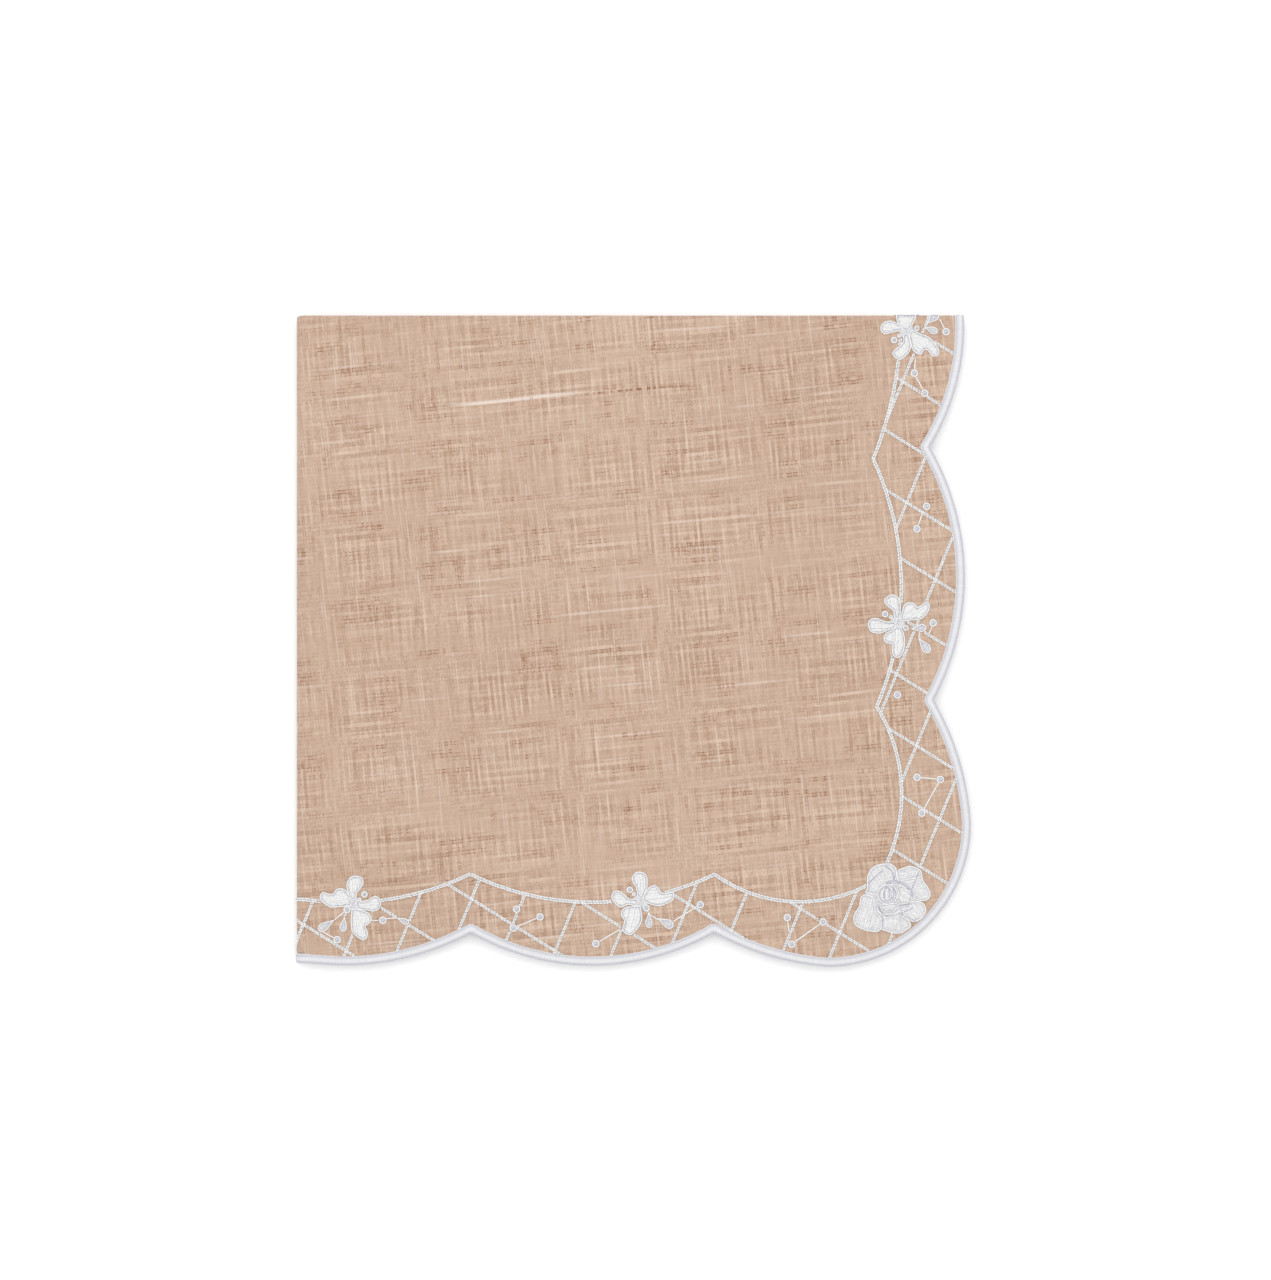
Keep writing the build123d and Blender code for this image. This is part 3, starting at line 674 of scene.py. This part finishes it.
def thread_material(name, colour, painted_shade_colour, roughness=0.62):
    """White cotton thread: plied strands, turned lavender-grey by the painted shade it carries where it lies
    deep.
    """
    material, shader, start = new_material(name)
    # The shade attribute is painted shade; the thread's own tone and its fibres vary it at random.
    shade = start.node("ShaderNodeAttribute", {"attribute_name": "shade"}, out="Fac")
    lay = start.node("ShaderNodeAttribute", {"attribute_name": "lay"}, out="Vector")
    along = start.node("ShaderNodeSeparateXYZ", i0=lay)
    around, own = along.sibling(1), along.sibling(2)
    ply = ((along * 1.4 + around) * math.tau * 2).sin() * 0.5 + 0.5
    fibre = lay.stretched(1.2, 14.0, 5.0).noise(1.0, 3.0, 0.6)
    tone = (shade + (own - 0.5) * 0.30 + (fibre - 0.5) * 0.3).clamp(0.0, 1.0)
    base = tone.mix(opaque(colour), opaque(painted_shade_colour))
    bump = start.node("ShaderNodeBump", Strength=0.35, Distance=0.00006, Height=ply + fibre)
    join(shader, start, Base_Color=base, Normal=bump, Roughness=roughness, Sheen_Weight=0.15,
         Sheen_Roughness=0.4)
    shader.inputs["Specular IOR Level"].default_value = 0.3
    return material


# ---- Stitches ----------------------------------------------------------------
def along_path(path, pitch, length, offset, side, jitter, points=4):
    """Stitches laid one after another along a path, beside it by offset, each a short arc over the cloth.

    side is their slant in millimetres across the path from start to end.
    """
    rng = np.random.default_rng(11)
    lengths = lengths_along(path)
    normal = normals_left(path)
    starts = np.arange(0, max(lengths[-1] - length * 0.6, pitch * 0.5), pitch)
    share = np.linspace(0, 1, points)
    own = rng.normal(0, jitter, (len(starts), 1))
    places = starts[:, None] + share * length + own
    places = np.clip(places, 0, lengths[-1])
    x, y = (np.interp(places, lengths, path[:, i]) for i in (0, 1))
    nx, ny = (np.interp(places, lengths, normal[:, i]) for i in (0, 1))
    beside = offset + side * (share - 0.5) + rng.normal(0, jitter * 0.5, (len(starts), 1))
    return np.stack([x + nx * beside, y + ny * beside, np.zeros_like(x)], 2)


def raised(paths, low, high):
    """Stitches that dip into the cloth at both ends and rise between."""
    share = np.linspace(0, 1, paths.shape[1])
    paths = paths.copy()
    paths[..., 2] = low + (high - low) * np.sin(np.pi * share) ** 0.6
    return paths


def filling(work, loop, direction, spacing, inset, stitch, crown, shade=0.0, level=0.0):
    """Long and short stitches that fill a closed outline in one direction."""
    rng = np.random.default_rng(len(loop))
    turn = math.radians(direction)
    ahead, beside = np.array([math.cos(turn), math.sin(turn)]), np.array([-math.sin(turn), math.cos(turn)])
    s, t = loop @ ahead, loop @ beside
    starts, ends = [], []
    for row, line in enumerate(np.arange(t.min() + spacing / 2, t.max(), spacing)):
        line += rng.normal(0, spacing * 0.08)
        t2, s2 = np.roll(t, -1), np.roll(s, -1)
        hit = (t > line) != (t2 > line)
        crossings = np.sort(s[hit] + (line - t[hit]) / (t2[hit] - t[hit]) * (s2[hit] - s[hit]))
        for low, high in zip(crossings[::2], crossings[1::2]):
            cut = low + (row % 2) * stitch / 2 + rng.uniform(-0.3, 0.3)
            cuts = [low] + [c for c in np.arange(cut, high, stitch) if low + 0.6 < c < high - 0.6] + [high]
            for a, b in zip(cuts, cuts[1:]):
                starts.append(ahead * (a - 0.12) + beside * line)
                ends.append(ahead * (b + 0.12) + beside * line)
    if not starts:
        return
    share = np.linspace(0, 1, 4)[:, None]
    starts, ends = np.array(starts), np.array(ends)
    paths = starts[:, None] + (ends - starts)[:, None] * share
    deep = distance_to(paths.reshape(-1, 2), loop).reshape(paths.shape[:2])
    within = inside(paths.reshape(-1, 2), loop).reshape(paths.shape[:2])
    good = within[:, 1] & within[:, 2]
    paths, deep, within = paths[good], deep[good], within[good]
    keep = deep.max(1) > inset
    paths, deep, within = paths[keep], deep[keep], within[keep]
    dome = np.where(within, np.clip((deep - inset * 0.5) / 1.6, -0.4, 1), -0.4)
    out = FACE + 0.08 + level + crown * np.sqrt(np.clip(dome, 0, 1)) + 0.15 * np.minimum(dome, 0)
    end_dip = np.array([0.07, 0.0, 0.0, 0.07])
    paths = np.concatenate([paths, (out - end_dip)[..., None]], 2)
    # Painted shade: the filling is greyer next to its outline, beside the raised rim.
    edge_painted_shade = np.clip(1 - (deep - inset) / 0.35, 0, 1) * 0.35
    sides = 6
    shades = np.repeat((shade + edge_painted_shade)[..., None], sides, 2)
    work.threads(paths, spacing * 1.12, FILL_HEIGHT, shades, sides)


def rim(work, loop, radius, out):
    """A cord of slanting stitches round a closed outline."""
    closed = np.vstack([loop, loop[:2]])
    paths = along_path(closed, RIM_PITCH, RIM_STITCH, 0.0, radius * 1.1, 0.03)
    paths = raised(paths, out - radius * 0.5, out + radius * 0.25)
    work.threads(paths, radius * 1.8, radius * 1.8)


def groove(work, loop, inset, width, out, shade):
    """A thread in painted shade that follows a closed outline at a distance inside it: lavender-grey for the
    shade in the groove inside the rim.
    """
    inner = loop + normals_left(loop, closed=True) * inset
    clear = distance_to(inner, loop) > inset * 0.9
    for stretch in runs(np.vstack([inner, inner[:1]]), np.append(clear, clear[0]), 4):
        paths = along_path(stretch, 0.55, 0.62, 0.0, 0.0, 0.0, points=3)
        paths[..., 2] = out
        work.threads(paths, width, width * 0.8, shade, sides=4)


def motif(work, loop, direction, crown=0.22, rim_radius=0.19, tone=0.06, level=0.0, groove_painted_shade=0.80):
    """One embroidered petal: a flat underlay in painted shade, grey where it shows between the stitches, a
    raised rim, a contour line of painted shade inside the rim, and a filling greyed by painted shade (tone).
    """
    inward = normals_left(loop, closed=True)
    work.pad(loop + inward * rim_radius, FACE - 0.02, 0.10 + level, 0.45)
    rim(work, loop + inward * rim_radius, rim_radius, FACE + 0.17 + level)
    groove(work, loop, rim_radius * 2 + 0.14, 0.34, FACE + 0.20 + level, groove_painted_shade)
    filling(work, loop, direction, FILL_SPACING, rim_radius * 2 + 0.22, FILL_STITCH, crown, tone, level)


def runs(path, good, least):
    """The stretches of a path whose points are good, if they have enough points."""
    stretches, run = [], []
    for point, ok in zip(path, good):
        if ok:
            run.append(point)
        elif run:
            stretches.append(np.array(run))
            run = []
    if run:
        stretches.append(np.array(run))
    return [s for s in stretches if len(s) >= least]


def double_line(work, path, half_gap, pitch, radius):
    """Two rows of running stitches with a thread between them in painted shade, lavender-grey for the shade
    in the gap between the rows.
    """
    core = along_path(path, pitch * 2, pitch * 2.05, 0.0, 0.0, 0.0, points=5)
    # The core thread is painted shade, greyed for the shade between the rows.
    work.threads(raised(core, FACE + 0.05, FACE + 0.09), half_gap * 1.3, 0.16, 0.48)
    for side, begin in ((1, 0.0), (-1, 0.5)):
        shifted = resample(path, LINE_STEP)[int(begin * pitch / LINE_STEP):]
        if len(shifted) < 4:
            continue
        paths = along_path(shifted, pitch, pitch * 0.80, side * half_gap, side * 0.06, 0.06)
        work.threads(raised(paths, FACE + 0.04, FACE + radius + 0.08), radius * 2, radius * 2, 0.0)


def field_loops():
    """The cloth clear of the satin edge, and inside the border line, as closed outlines of one quarter."""
    edge = on_cloth(arc_row(EDGE_ARCS, 1.0))
    edge = edge + normals_left(edge) * EDGE_WIDTH * 0.85
    line = on_cloth(arc_row(LINE_ARCS, 1.0))
    return [np.vstack([to_fold_lines(path), [[0.0, 0.0]]]) for path in (edge, line)]


def circle(centre, radius, count=24):
    """A round outline on the open cloth."""
    turn = np.linspace(0, math.tau, count, endpoint=False)
    return on_cloth(np.stack([np.cos(turn), np.sin(turn)], 1) * radius + centre)


def petal_outline(centre, corners, step):
    """The outline of a petal on the open cloth, from a few points about its flower's centre."""
    return on_cloth(smooth_loop(corners, step) + centre)


def pod_outline(centre, pod):
    """The outline of a bud: narrow at its tail, round at its tip."""
    tail, tip, half_width = np.add(centre, pod[:2]), np.add(centre, pod[2:4]), pod[4]
    ahead = tip - tail
    beside = np.array([-ahead[1], ahead[0]]) / np.linalg.norm(ahead)
    s = np.array([0.0, 0.28, 0.62, 0.88, 1.0, 0.88, 0.62, 0.28])
    w = np.array([0.0, 0.45, 1.0, 0.8, 0.0, -0.8, -1.0, -0.45])
    outline = smooth_loop(tail + s[:, None] * ahead + w[:, None] * half_width * beside, LINE_STEP)
    return below_fold(on_cloth(outline))


def motif_loops():
    """Outlines of the rose, the petals, the buds and the knots, which lines stop at."""
    loops = [petal_outline(ROSE, petal, 0.6) for _, petal in ROSE_OUTER]
    loops.append(circle(ROSE, ROSE_GROUND_R))
    for centre, petals, stamens, pods in SPRIGS.values():
        loops += [petal_outline(centre, petal, 0.6) for _, petal in petals]
        loops += [circle(np.add(centre, (x, y)), radius) for x, y, radius in stamens]
        loops += [pod_outline(centre, pod) for pod in pods]
        loops.append(circle(centre, SPRIG_GROUND_R))
    loops += [circle(knot, KNOT_R) for knot in KNOTS]
    return loops


def clipped(path, keep_in, keep_out, holes):
    """The stretches of a path inside one outline, outside another and outside every hole."""
    good = np.ones(len(path), bool)
    if keep_in is not None:
        good &= inside(path, keep_in)
    if keep_out is not None:
        good &= ~inside(path, keep_out)
    for hole in holes:
        near = np.abs(path - hole.mean(0)).max(1) < MOTIF_REACH
        if near.any():
            good[near] &= ~inside(path[near], hole)
    return runs(path, good, SHORTEST_LINE)


def lattice_paths(angle, passes):
    """Straight lines at one angle through points, from side to side of the quarter."""
    turn = math.radians(angle)
    reach = np.arange(-260, 260, LINE_STEP)[:, None]
    return [on_cloth(np.array(p) + reach * np.array([math.cos(turn), math.sin(turn)])) for p in passes]


# ---- Settings ----------------------------------------------------------------
def colour_setting(name, default, description):
    return FloatVectorProperty(name=name, description=description, subtype="COLOR", size=3, min=0, max=1,
                               default=default)


class NapkinSettings(bpy.types.PropertyGroup):
    """Sizes and colours of the napkin."""
    waviness: FloatProperty(name="Waviness", description="Height of the waves it lies in", default=0.0006,
                            unit="LENGTH")
    cloth_step: FloatProperty(name="Cloth Mesh Step", description="Distance between points of the cloth",
                              default=0.003, unit="LENGTH")
    satin_pitch: FloatProperty(name="Satin Pitch", description="Distance between stitches of the edge",
                               default=0.00052, unit="LENGTH")
    warp_pitch: FloatProperty(name="Warp Pitch", description="Distance between warp threads", default=0.00093,
                              unit="LENGTH", precision=5)
    weft_pitch: FloatProperty(name="Weft Pitch", description="Distance between weft threads", default=0.0013,
                              unit="LENGTH", precision=5)
    slub: FloatVectorProperty(name="Slub", description="Where the long slub begins, along the weave", size=2,
                              default=(0.0557, -0.0352), unit="LENGTH")
    weave_angle: FloatProperty(name="Weave Angle", description="Turn of the weave from the folds",
                               default=math.radians(5.6), subtype="ANGLE")
    linen_light: colour_setting("Linen", (0.480, 0.339, 0.252), "Colour of the linen's even patches")
    # The ends of the linen's tone: its darker and lighter threads, and also the painted shade and light on
    # the weave's sides and crowns.
    linen_shadow: colour_setting("Linen Shadow", (0.359, 0.228, 0.157), "Colour of its darker threads")
    linen_lit: colour_setting("Linen Lit", (0.591, 0.448, 0.348), "Colour of its lighter threads")
    linen_pale: colour_setting("Linen Pale", (0.665, 0.569, 0.500), "Colour of pale, thick threads")
    # Colour of the painted shade in the gaps between threads.
    linen_fleck: colour_setting("Linen Fleck", (0.250, 0.100, 0.046), "Colour of the dark dashes")
    thread: colour_setting("Thread", (0.790, 0.790, 0.780), "Colour of the white thread")
    # Colour of the painted shade on the thread, where it lies deep.
    thread_shade: colour_setting("Thread Shade", (0.410, 0.410, 0.480), "Colour of thread that lies deep")


class NapkinPiece:
    """What every operator of the napkin shares."""
    bl_options = {"REGISTER", "UNDO"}

    def finish_piece(self, piece, slot, nodes, material):
        """Gives the piece its material and hides the parts that it stands for."""
        piece.data.materials.append(material)
        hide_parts(*nodes)
        return {"FINISHED"}

    def finish_work(self, work, name, part):
        """Lays needlework on the cloth as a piece that stands for one part of each layer."""
        return self.finish_piece(work.lay(name), "embroidery", layer_nodes(part), white_thread())


def layer_nodes(part):
    """The names of one part on all four layers."""
    return [f"{layer}_{part}" for layer in ("front", "front_inner", "back_inner", "back")]


def white_thread():
    """The white thread, made once."""
    settings = bpy.context.scene.napkin
    return bpy.data.materials.get("white_thread") or thread_material(
        "white_thread", settings.thread, settings.thread_shade)


class NAPKIN_OT_cloth(NapkinPiece, bpy.types.Operator):
    """Make the linen: one sheet, folded in quarters"""
    bl_idname = "napkin.cloth"
    bl_label = "Linen Cloth"

    def execute(self, context):
        step = context.scene.napkin.cloth_step / MM
        edge = on_cloth(arc_row(EDGE_ARCS, 2.0))
        outline = all_round(edge + normals_left(edge) * EDGE_WIDTH * 0.5)
        wide, high = outline.max(0)
        grid_lines = []
        for turn, parts, end in ((SIDE_TURN, 8, wide), (TOP_TURN, 6, high)):
            lines = np.concatenate([np.linspace(0, turn, parts + 1), np.arange(turn + step, end, step)])
            grid_lines.append(np.unique(np.concatenate([-lines, lines])))
        grid = np.stack(np.meshgrid(*grid_lines), -1).reshape(-1, 2)
        grid = grid[inside(grid, outline)]
        grid = grid[distance_to(grid, outline[::2]) > 0.7]
        places, faces = slab(outline, -FACE, FACE, grid)
        lay = np.column_stack([places[:, :2], np.sign(places[:, 2]) * 3.0])
        piece = make_piece("linen_cloth", places, faces, np.zeros(len(places)), lay)
        nodes = layer_nodes("cloth") + ["lower_top_fold", "upper_top_fold", "side_fold_outer",
                                        "side_fold_inner", "fold_corner"]
        return self.finish_piece(piece, "linen", nodes, linen_material())


class NAPKIN_OT_satin_edge(NapkinPiece, bpy.types.Operator):
    """Make the padded satin stitches round the scalloped edge"""
    bl_idname = "napkin.satin_edge"
    bl_label = "Satin Edge"

    def execute(self, context):
        pitch = context.scene.napkin.satin_pitch / MM
        loop = resample(all_round(on_cloth(arc_row(EDGE_ARCS, 0.4))), pitch / 2, closed=True)
        # Across the sharp notches the stitches fan out, over this length on each side.
        fan = 1.8
        true_normal = normals_left(loop, closed=True)
        reach = round(fan / (pitch / 2))
        window = np.hanning(2 * reach + 1)
        window /= window.sum()
        wrapped = np.vstack([true_normal[-reach:], true_normal, true_normal[:reach]])
        normal = np.stack([np.convolve(wrapped[:, i], window, "valid") for i in (0, 1)], 1)
        normal /= np.linalg.norm(normal, axis=1, keepdims=True)
        mitre = 1 / np.clip((normal * true_normal).sum(1), 0.86, 1)
        rng = np.random.default_rng(3)
        sides = 14
        turn = np.arange(sides) * math.tau / sides
        ridge = np.where(np.arange(len(loop)) % 2, 1.0, -1.0)
        uneven = 1 + rng.normal(0, 0.012, len(loop))
        half = EDGE_WIDTH / 2
        across = half * (1 + np.cos(turn) * (uneven + 0.016 * ridge)[:, None] * 0.99)
        power = np.abs(np.sin(turn)) ** 0.75 * np.sign(np.sin(turn))
        out = (EDGE_THICK / 2 - 0.07 + 0.06 * ridge)[:, None] * power
        places = np.concatenate([loop[:, None] + (normal * mitre[:, None])[:, None] * across[..., None],
                                 out[..., None]], 2)
        number = np.arange(len(loop) * sides).reshape(len(loop), sides)
        after, beside = np.roll(number, -1, 0), np.roll(number, -1, 1)
        walls = np.stack([number, after, np.roll(after, -1, 1), beside], -1).reshape(-1, 4)
        inward = (1 + np.cos(turn)) / 2
        # Painted shade across the cord: dark flanks, a light crown, and a lighter underside.
        painted_shade_band = np.interp(inward, SATIN_PLACES, SATIN_PAINTED_SHADES)
        painted_shade_band = np.where(np.sin(turn) > 0.01, painted_shade_band, SATIN_UNDERSIDE_PAINTED_SHADE)
        # Painted shade also in the dips between stitches; the random part is the thread's own uneven tone.
        shade = painted_shade_band + 0.12 * (ridge < 0)[:, None] + rng.normal(0, 0.03, len(loop))[:, None]
        lay = np.zeros(places.shape)
        lay[..., 0] = turn / math.tau * 7
        lay[..., 1] = np.arange(len(loop))[:, None] / 2
        piece = make_piece("satin_edge", places.reshape(-1, 3), [walls], np.clip(shade, 0, 1).reshape(-1),
                           lay.reshape(-1, 3))
        nodes = layer_nodes("satin_edge") + ["lower_top_edge_turn", "upper_top_edge_turn",
                                             "side_edge_turn_outer", "side_edge_turn_inner"]
        settings = context.scene.napkin
        material = thread_material("satin_thread", settings.thread, settings.thread_shade, 0.5)
        return self.finish_piece(piece, "satin_edge", nodes, material)


class NAPKIN_OT_border_line(NapkinPiece, bpy.types.Operator):
    """Make the stitched line inside the edge"""
    bl_idname = "napkin.border_line"
    bl_label = "Border Line"

    def execute(self, context):
        line = to_fold_lines(on_cloth(arc_row(LINE_ARCS, LINE_STEP)))
        work = Needlework()
        for path in clipped(line, None, None, motif_loops()):
            double_line(work, path, *BORDER_LINE)
        return self.finish_work(work, "border_line", "border_line")


class NAPKIN_OT_lattice(NapkinPiece, bpy.types.Operator):
    """Make the two families of slanting lines"""
    bl_idname = "napkin.lattice"
    bl_label = "Lattice"

    def execute(self, context):
        field, middle = field_loops()
        holes = motif_loops()
        falling = [(0, first + step * k) for first, step, count in FALLING_GRIDS for k in range(count)]
        rising = [(place, 0) for place in RISING_LINES]
        for name, angle, passes in (("lattice_falling", FALLING_ANGLE, falling),
                                    ("lattice_rising", RISING_ANGLE, rising)):
            work = Needlework()
            for path in lattice_paths(angle, passes):
                for stretch in clipped(path, field, middle, holes):
                    double_line(work, stretch, *LATTICE_LINE)
            self.finish_work(work, name, name)
        return {"FINISHED"}


class NAPKIN_OT_rose(NapkinPiece, bpy.types.Operator):
    """Make the corner rose: outer petals, inner petals and heart"""
    bl_idname = "napkin.rose"
    bl_label = "Rose"

    def execute(self, context):
        under, outer, inner, heart = Needlework(), Needlework(), Needlework(), Needlework()
        ground(under, circle(ROSE, ROSE_GROUND_R, 60), 20)
        for level, (direction, outline) in enumerate(ROSE_OUTER):
            motif(outer, petal_outline(ROSE, outline, LINE_STEP), direction, tone=0.18,
                  level=0.06 + 0.03 * level, groove_painted_shade=0.52)
        for level, (direction, outline) in enumerate(ROSE_INNER):
            motif(inner, petal_outline(ROSE, outline, LINE_STEP), direction, rim_radius=0.15,
                  tone=0.16, level=0.16 + 0.03 * level, groove_painted_shade=0.65)
        contours(inner, ROSE_LINES, ROSE, FACE + 0.46)
        for squeeze, size, level in ((1.0, 1.0, 0.22), (0.72, 0.80, 0.34)):
            turn = np.linspace(0, math.tau, 64, endpoint=False)
            oval = np.stack([np.cos(turn) * squeeze, np.sin(turn)], 1) * HEART_R * size + ROSE_HEART
            motif(heart, on_cloth(resample(oval, LINE_STEP, closed=True)), 90, tone=0.2, level=level)
        contours(heart, HEART_LINES, ROSE, FACE + 0.66)
        for work, name, node in ((under, "rose_ground", "rose_outer_petals"),
                                 (outer, "rose_outer_petals", "rose_outer_petals"),
                                 (inner, "rose_inner_petals", "rose_inner_petals"),
                                 (heart, "rose_heart", "rose_heart")):
            self.finish_work(work, name, node)
        return {"FINISHED"}


def ground(work, loop, direction):
    """Flat filling stitches under a motif, greyed by painted shade, which show between its petals as the
    shade there.
    """
    work.pad(loop, FACE - 0.02, 0.08, 0.5)
    filling(work, loop, direction, FILL_SPACING, 0.1, FILL_STITCH, 0.06, 0.35)


def contours(work, lines, centre, out):
    """Threads in painted shade over a motif along open paths: lavender-grey lines for the shade in the
    grooves between petals.
    """
    for width, points in lines:
        path = resample(np.array(points, float), 0.8)
        for _ in range(2):
            path[1:-1] = (path[:-2] + 2 * path[1:-1] + path[2:]) / 4
        path = resample(on_cloth(path + centre), 0.25)
        stitches = along_path(path, 0.6, 0.85, 0.0, 0.05, 0.0)
        work.threads(raised(stitches, out - 0.10, out), width, 0.2, 0.95)


class NAPKIN_OT_sprigs(NapkinPiece, bpy.types.Operator):
    """Make the flower sprigs: petals, and buds with stamens"""
    bl_idname = "napkin.sprigs"
    bl_label = "Sprigs"

    def execute(self, context):
        buds = Needlework()
        for place, (centre, leaves, stamens, pods) in SPRIGS.items():
            petals = Needlework()
            ground(petals, below_fold(circle(centre, SPRIG_GROUND_R, 40)), 60)
            for level, (direction, outline) in enumerate(leaves):
                motif(petals, below_fold(petal_outline(centre, outline, LINE_STEP)), direction,
                      level=0.02 + 0.03 * level)
            self.finish_work(petals, f"sprig_petals_{place}", "sprig_petals")
            for x, y, radius in stamens:
                round_knot(buds, np.add(centre, (x, y)), radius, 0.08)
            for pod in pods:
                ahead = np.subtract(pod[2:4], pod[:2])
                direction = math.degrees(math.atan2(ahead[1], ahead[0]))
                motif(buds, pod_outline(centre, pod), direction, rim_radius=0.17, tone=0.28,
                      groove_painted_shade=0.65)
        return self.finish_work(buds, "sprig_buds", "sprig_buds")


def below_fold(loop):
    """An outline kept on its own side of the top fold's middle."""
    return np.column_stack([loop[:, 0], np.minimum(loop[:, 1], -0.02)])


def round_knot(work, place, radius, level=0.0):
    """A small padded dot with a corded rim round a middle greyed by painted shade, for the shade inside the
    rim.
    """
    work.pad(below_fold(circle(place, radius - 0.1)), FACE - 0.02, 0.12 + level, 0.75)
    rim(work, below_fold(circle(place, radius - 0.2, 30)), 0.2, FACE + 0.18 + level)
    filling(work, below_fold(circle(place, radius)), 35, 0.3, 0.5, 2.0, 0.22, 0.5, level)


class NAPKIN_OT_knots(NapkinPiece, bpy.types.Operator):
    """Make the round knots and their stems"""
    bl_idname = "napkin.knots"
    bl_label = "Knots"

    def execute(self, context):
        work = Needlework()
        for knot in KNOTS:
            round_knot(work, np.array(knot), KNOT_R)
        centres = on_cloth(np.array(KNOTS))
        for x1, y1, x2, y2 in STEMS:
            path = on_cloth(resample(np.array([[x1, y1], [x2, y2]], float), LINE_STEP))
            free = np.linalg.norm(path[:, None] - centres, axis=2).min(1) > KNOT_R * 0.85
            path = path[free]
            stitches = along_path(path, 0.6, 1.1, 0.0, 0.10, 0.02)
            work.threads(raised(stitches, FACE, FACE + 0.14), 0.42, 0.30, 0.05)
        return self.finish_work(work, "knots", "knots")


class NAPKIN_OT_stage(NapkinPiece, bpy.types.Operator):
    """Set the floor, the light and the camera"""
    bl_idname = "napkin.stage"
    bl_label = "Stage"

    def execute(self, context):
        scene = context.scene
        bpy.ops.mesh.primitive_grid_add(x_subdivisions=4, y_subdivisions=4, size=6.0,
                                        location=(0, 0, -0.0003))
        floor = context.object
        floor.name = "floor"
        material, shader, start = new_material("pale_floor")
        join(shader, start, Base_Color=(0.93, 0.93, 0.93, 1.0), Roughness=0.9)
        floor.data.materials.append(material)

        world = scene.world or bpy.data.worlds.new("pale_room")
        scene.world = world
        world.use_nodes = True
        background = world.node_tree.nodes["Background"]
        background.inputs["Color"].default_value = (1.0, 1.0, 1.0, 1.0)
        background.inputs["Strength"].default_value = 0.90
        for name, place, aim, size, power in (
                ("window_light", (0.15, 0.40, 1.65), (0.0, 0.0, 0.0), 1.1, 7.5),
                ("ceiling_light", (-0.4, 0.3, 1.9), (0.0, 0.0, 0.0), 1.6, 8.5)):
            lamp = bpy.data.lights.new(name, "AREA")
            lamp.size, lamp.energy = size, power
            light = bpy.data.objects.new(name, lamp)
            light.location = place
            direction = np.array(aim) - np.array(place)
            light.rotation_euler = (
                math.atan2(math.hypot(direction[0], direction[1]), -direction[2]), 0.0,
                math.atan2(direction[1], direction[0]) - math.pi / 2)
            scene.collection.objects.link(light)

        # A long lens straight above, which sees this width at the cloth, in metres.
        lens, width = 100.0, 0.4237
        camera = bpy.data.objects.new("camera", bpy.data.cameras.new("camera"))
        camera.data.lens = lens
        camera.data.sensor_fit = "HORIZONTAL"
        camera.data.sensor_width = 36.0
        top = CLOTH_HIGH[2] * MM
        camera.location = (0.00083, 0.00017, top + width * lens / camera.data.sensor_width)
        camera.rotation_euler = (0.0, 0.0, 0.0)
        camera.data.clip_end = 20.0
        scene.collection.objects.link(camera)
        scene.camera = camera
        scene.view_settings.view_transform = "Standard"
        return {"FINISHED"}


OPERATORS = (
    NAPKIN_OT_stage, NAPKIN_OT_cloth, NAPKIN_OT_satin_edge, NAPKIN_OT_border_line, NAPKIN_OT_lattice,
    NAPKIN_OT_rose, NAPKIN_OT_sprigs, NAPKIN_OT_knots,
)


class NAPKIN_PT_panel(bpy.types.Panel):
    """The napkin's pieces and settings"""
    bl_idname = "NAPKIN_PT_panel"
    bl_label = "Embroidered Napkin"
    bl_space_type = "VIEW_3D"
    bl_region_type = "UI"
    bl_category = "Napkin"

    def draw(self, context):
        for name in NapkinSettings.__annotations__:
            self.layout.prop(context.scene.napkin, name)
        for operator in OPERATORS:
            self.layout.operator(operator.bl_idname)


CLASSES = (NapkinSettings, *OPERATORS, NAPKIN_PT_panel)


def register():
    for made in CLASSES:
        bpy.utils.register_class(made)
    bpy.types.Scene.napkin = PointerProperty(type=NapkinSettings)


def unregister():
    del bpy.types.Scene.napkin
    for made in reversed(CLASSES):
        bpy.utils.unregister_class(made)


def main():
    register()
    for operator in OPERATORS:
        group, name = operator.bl_idname.split(".")
        getattr(getattr(bpy.ops, group), name)()


if __name__ == "__main__":
    main()
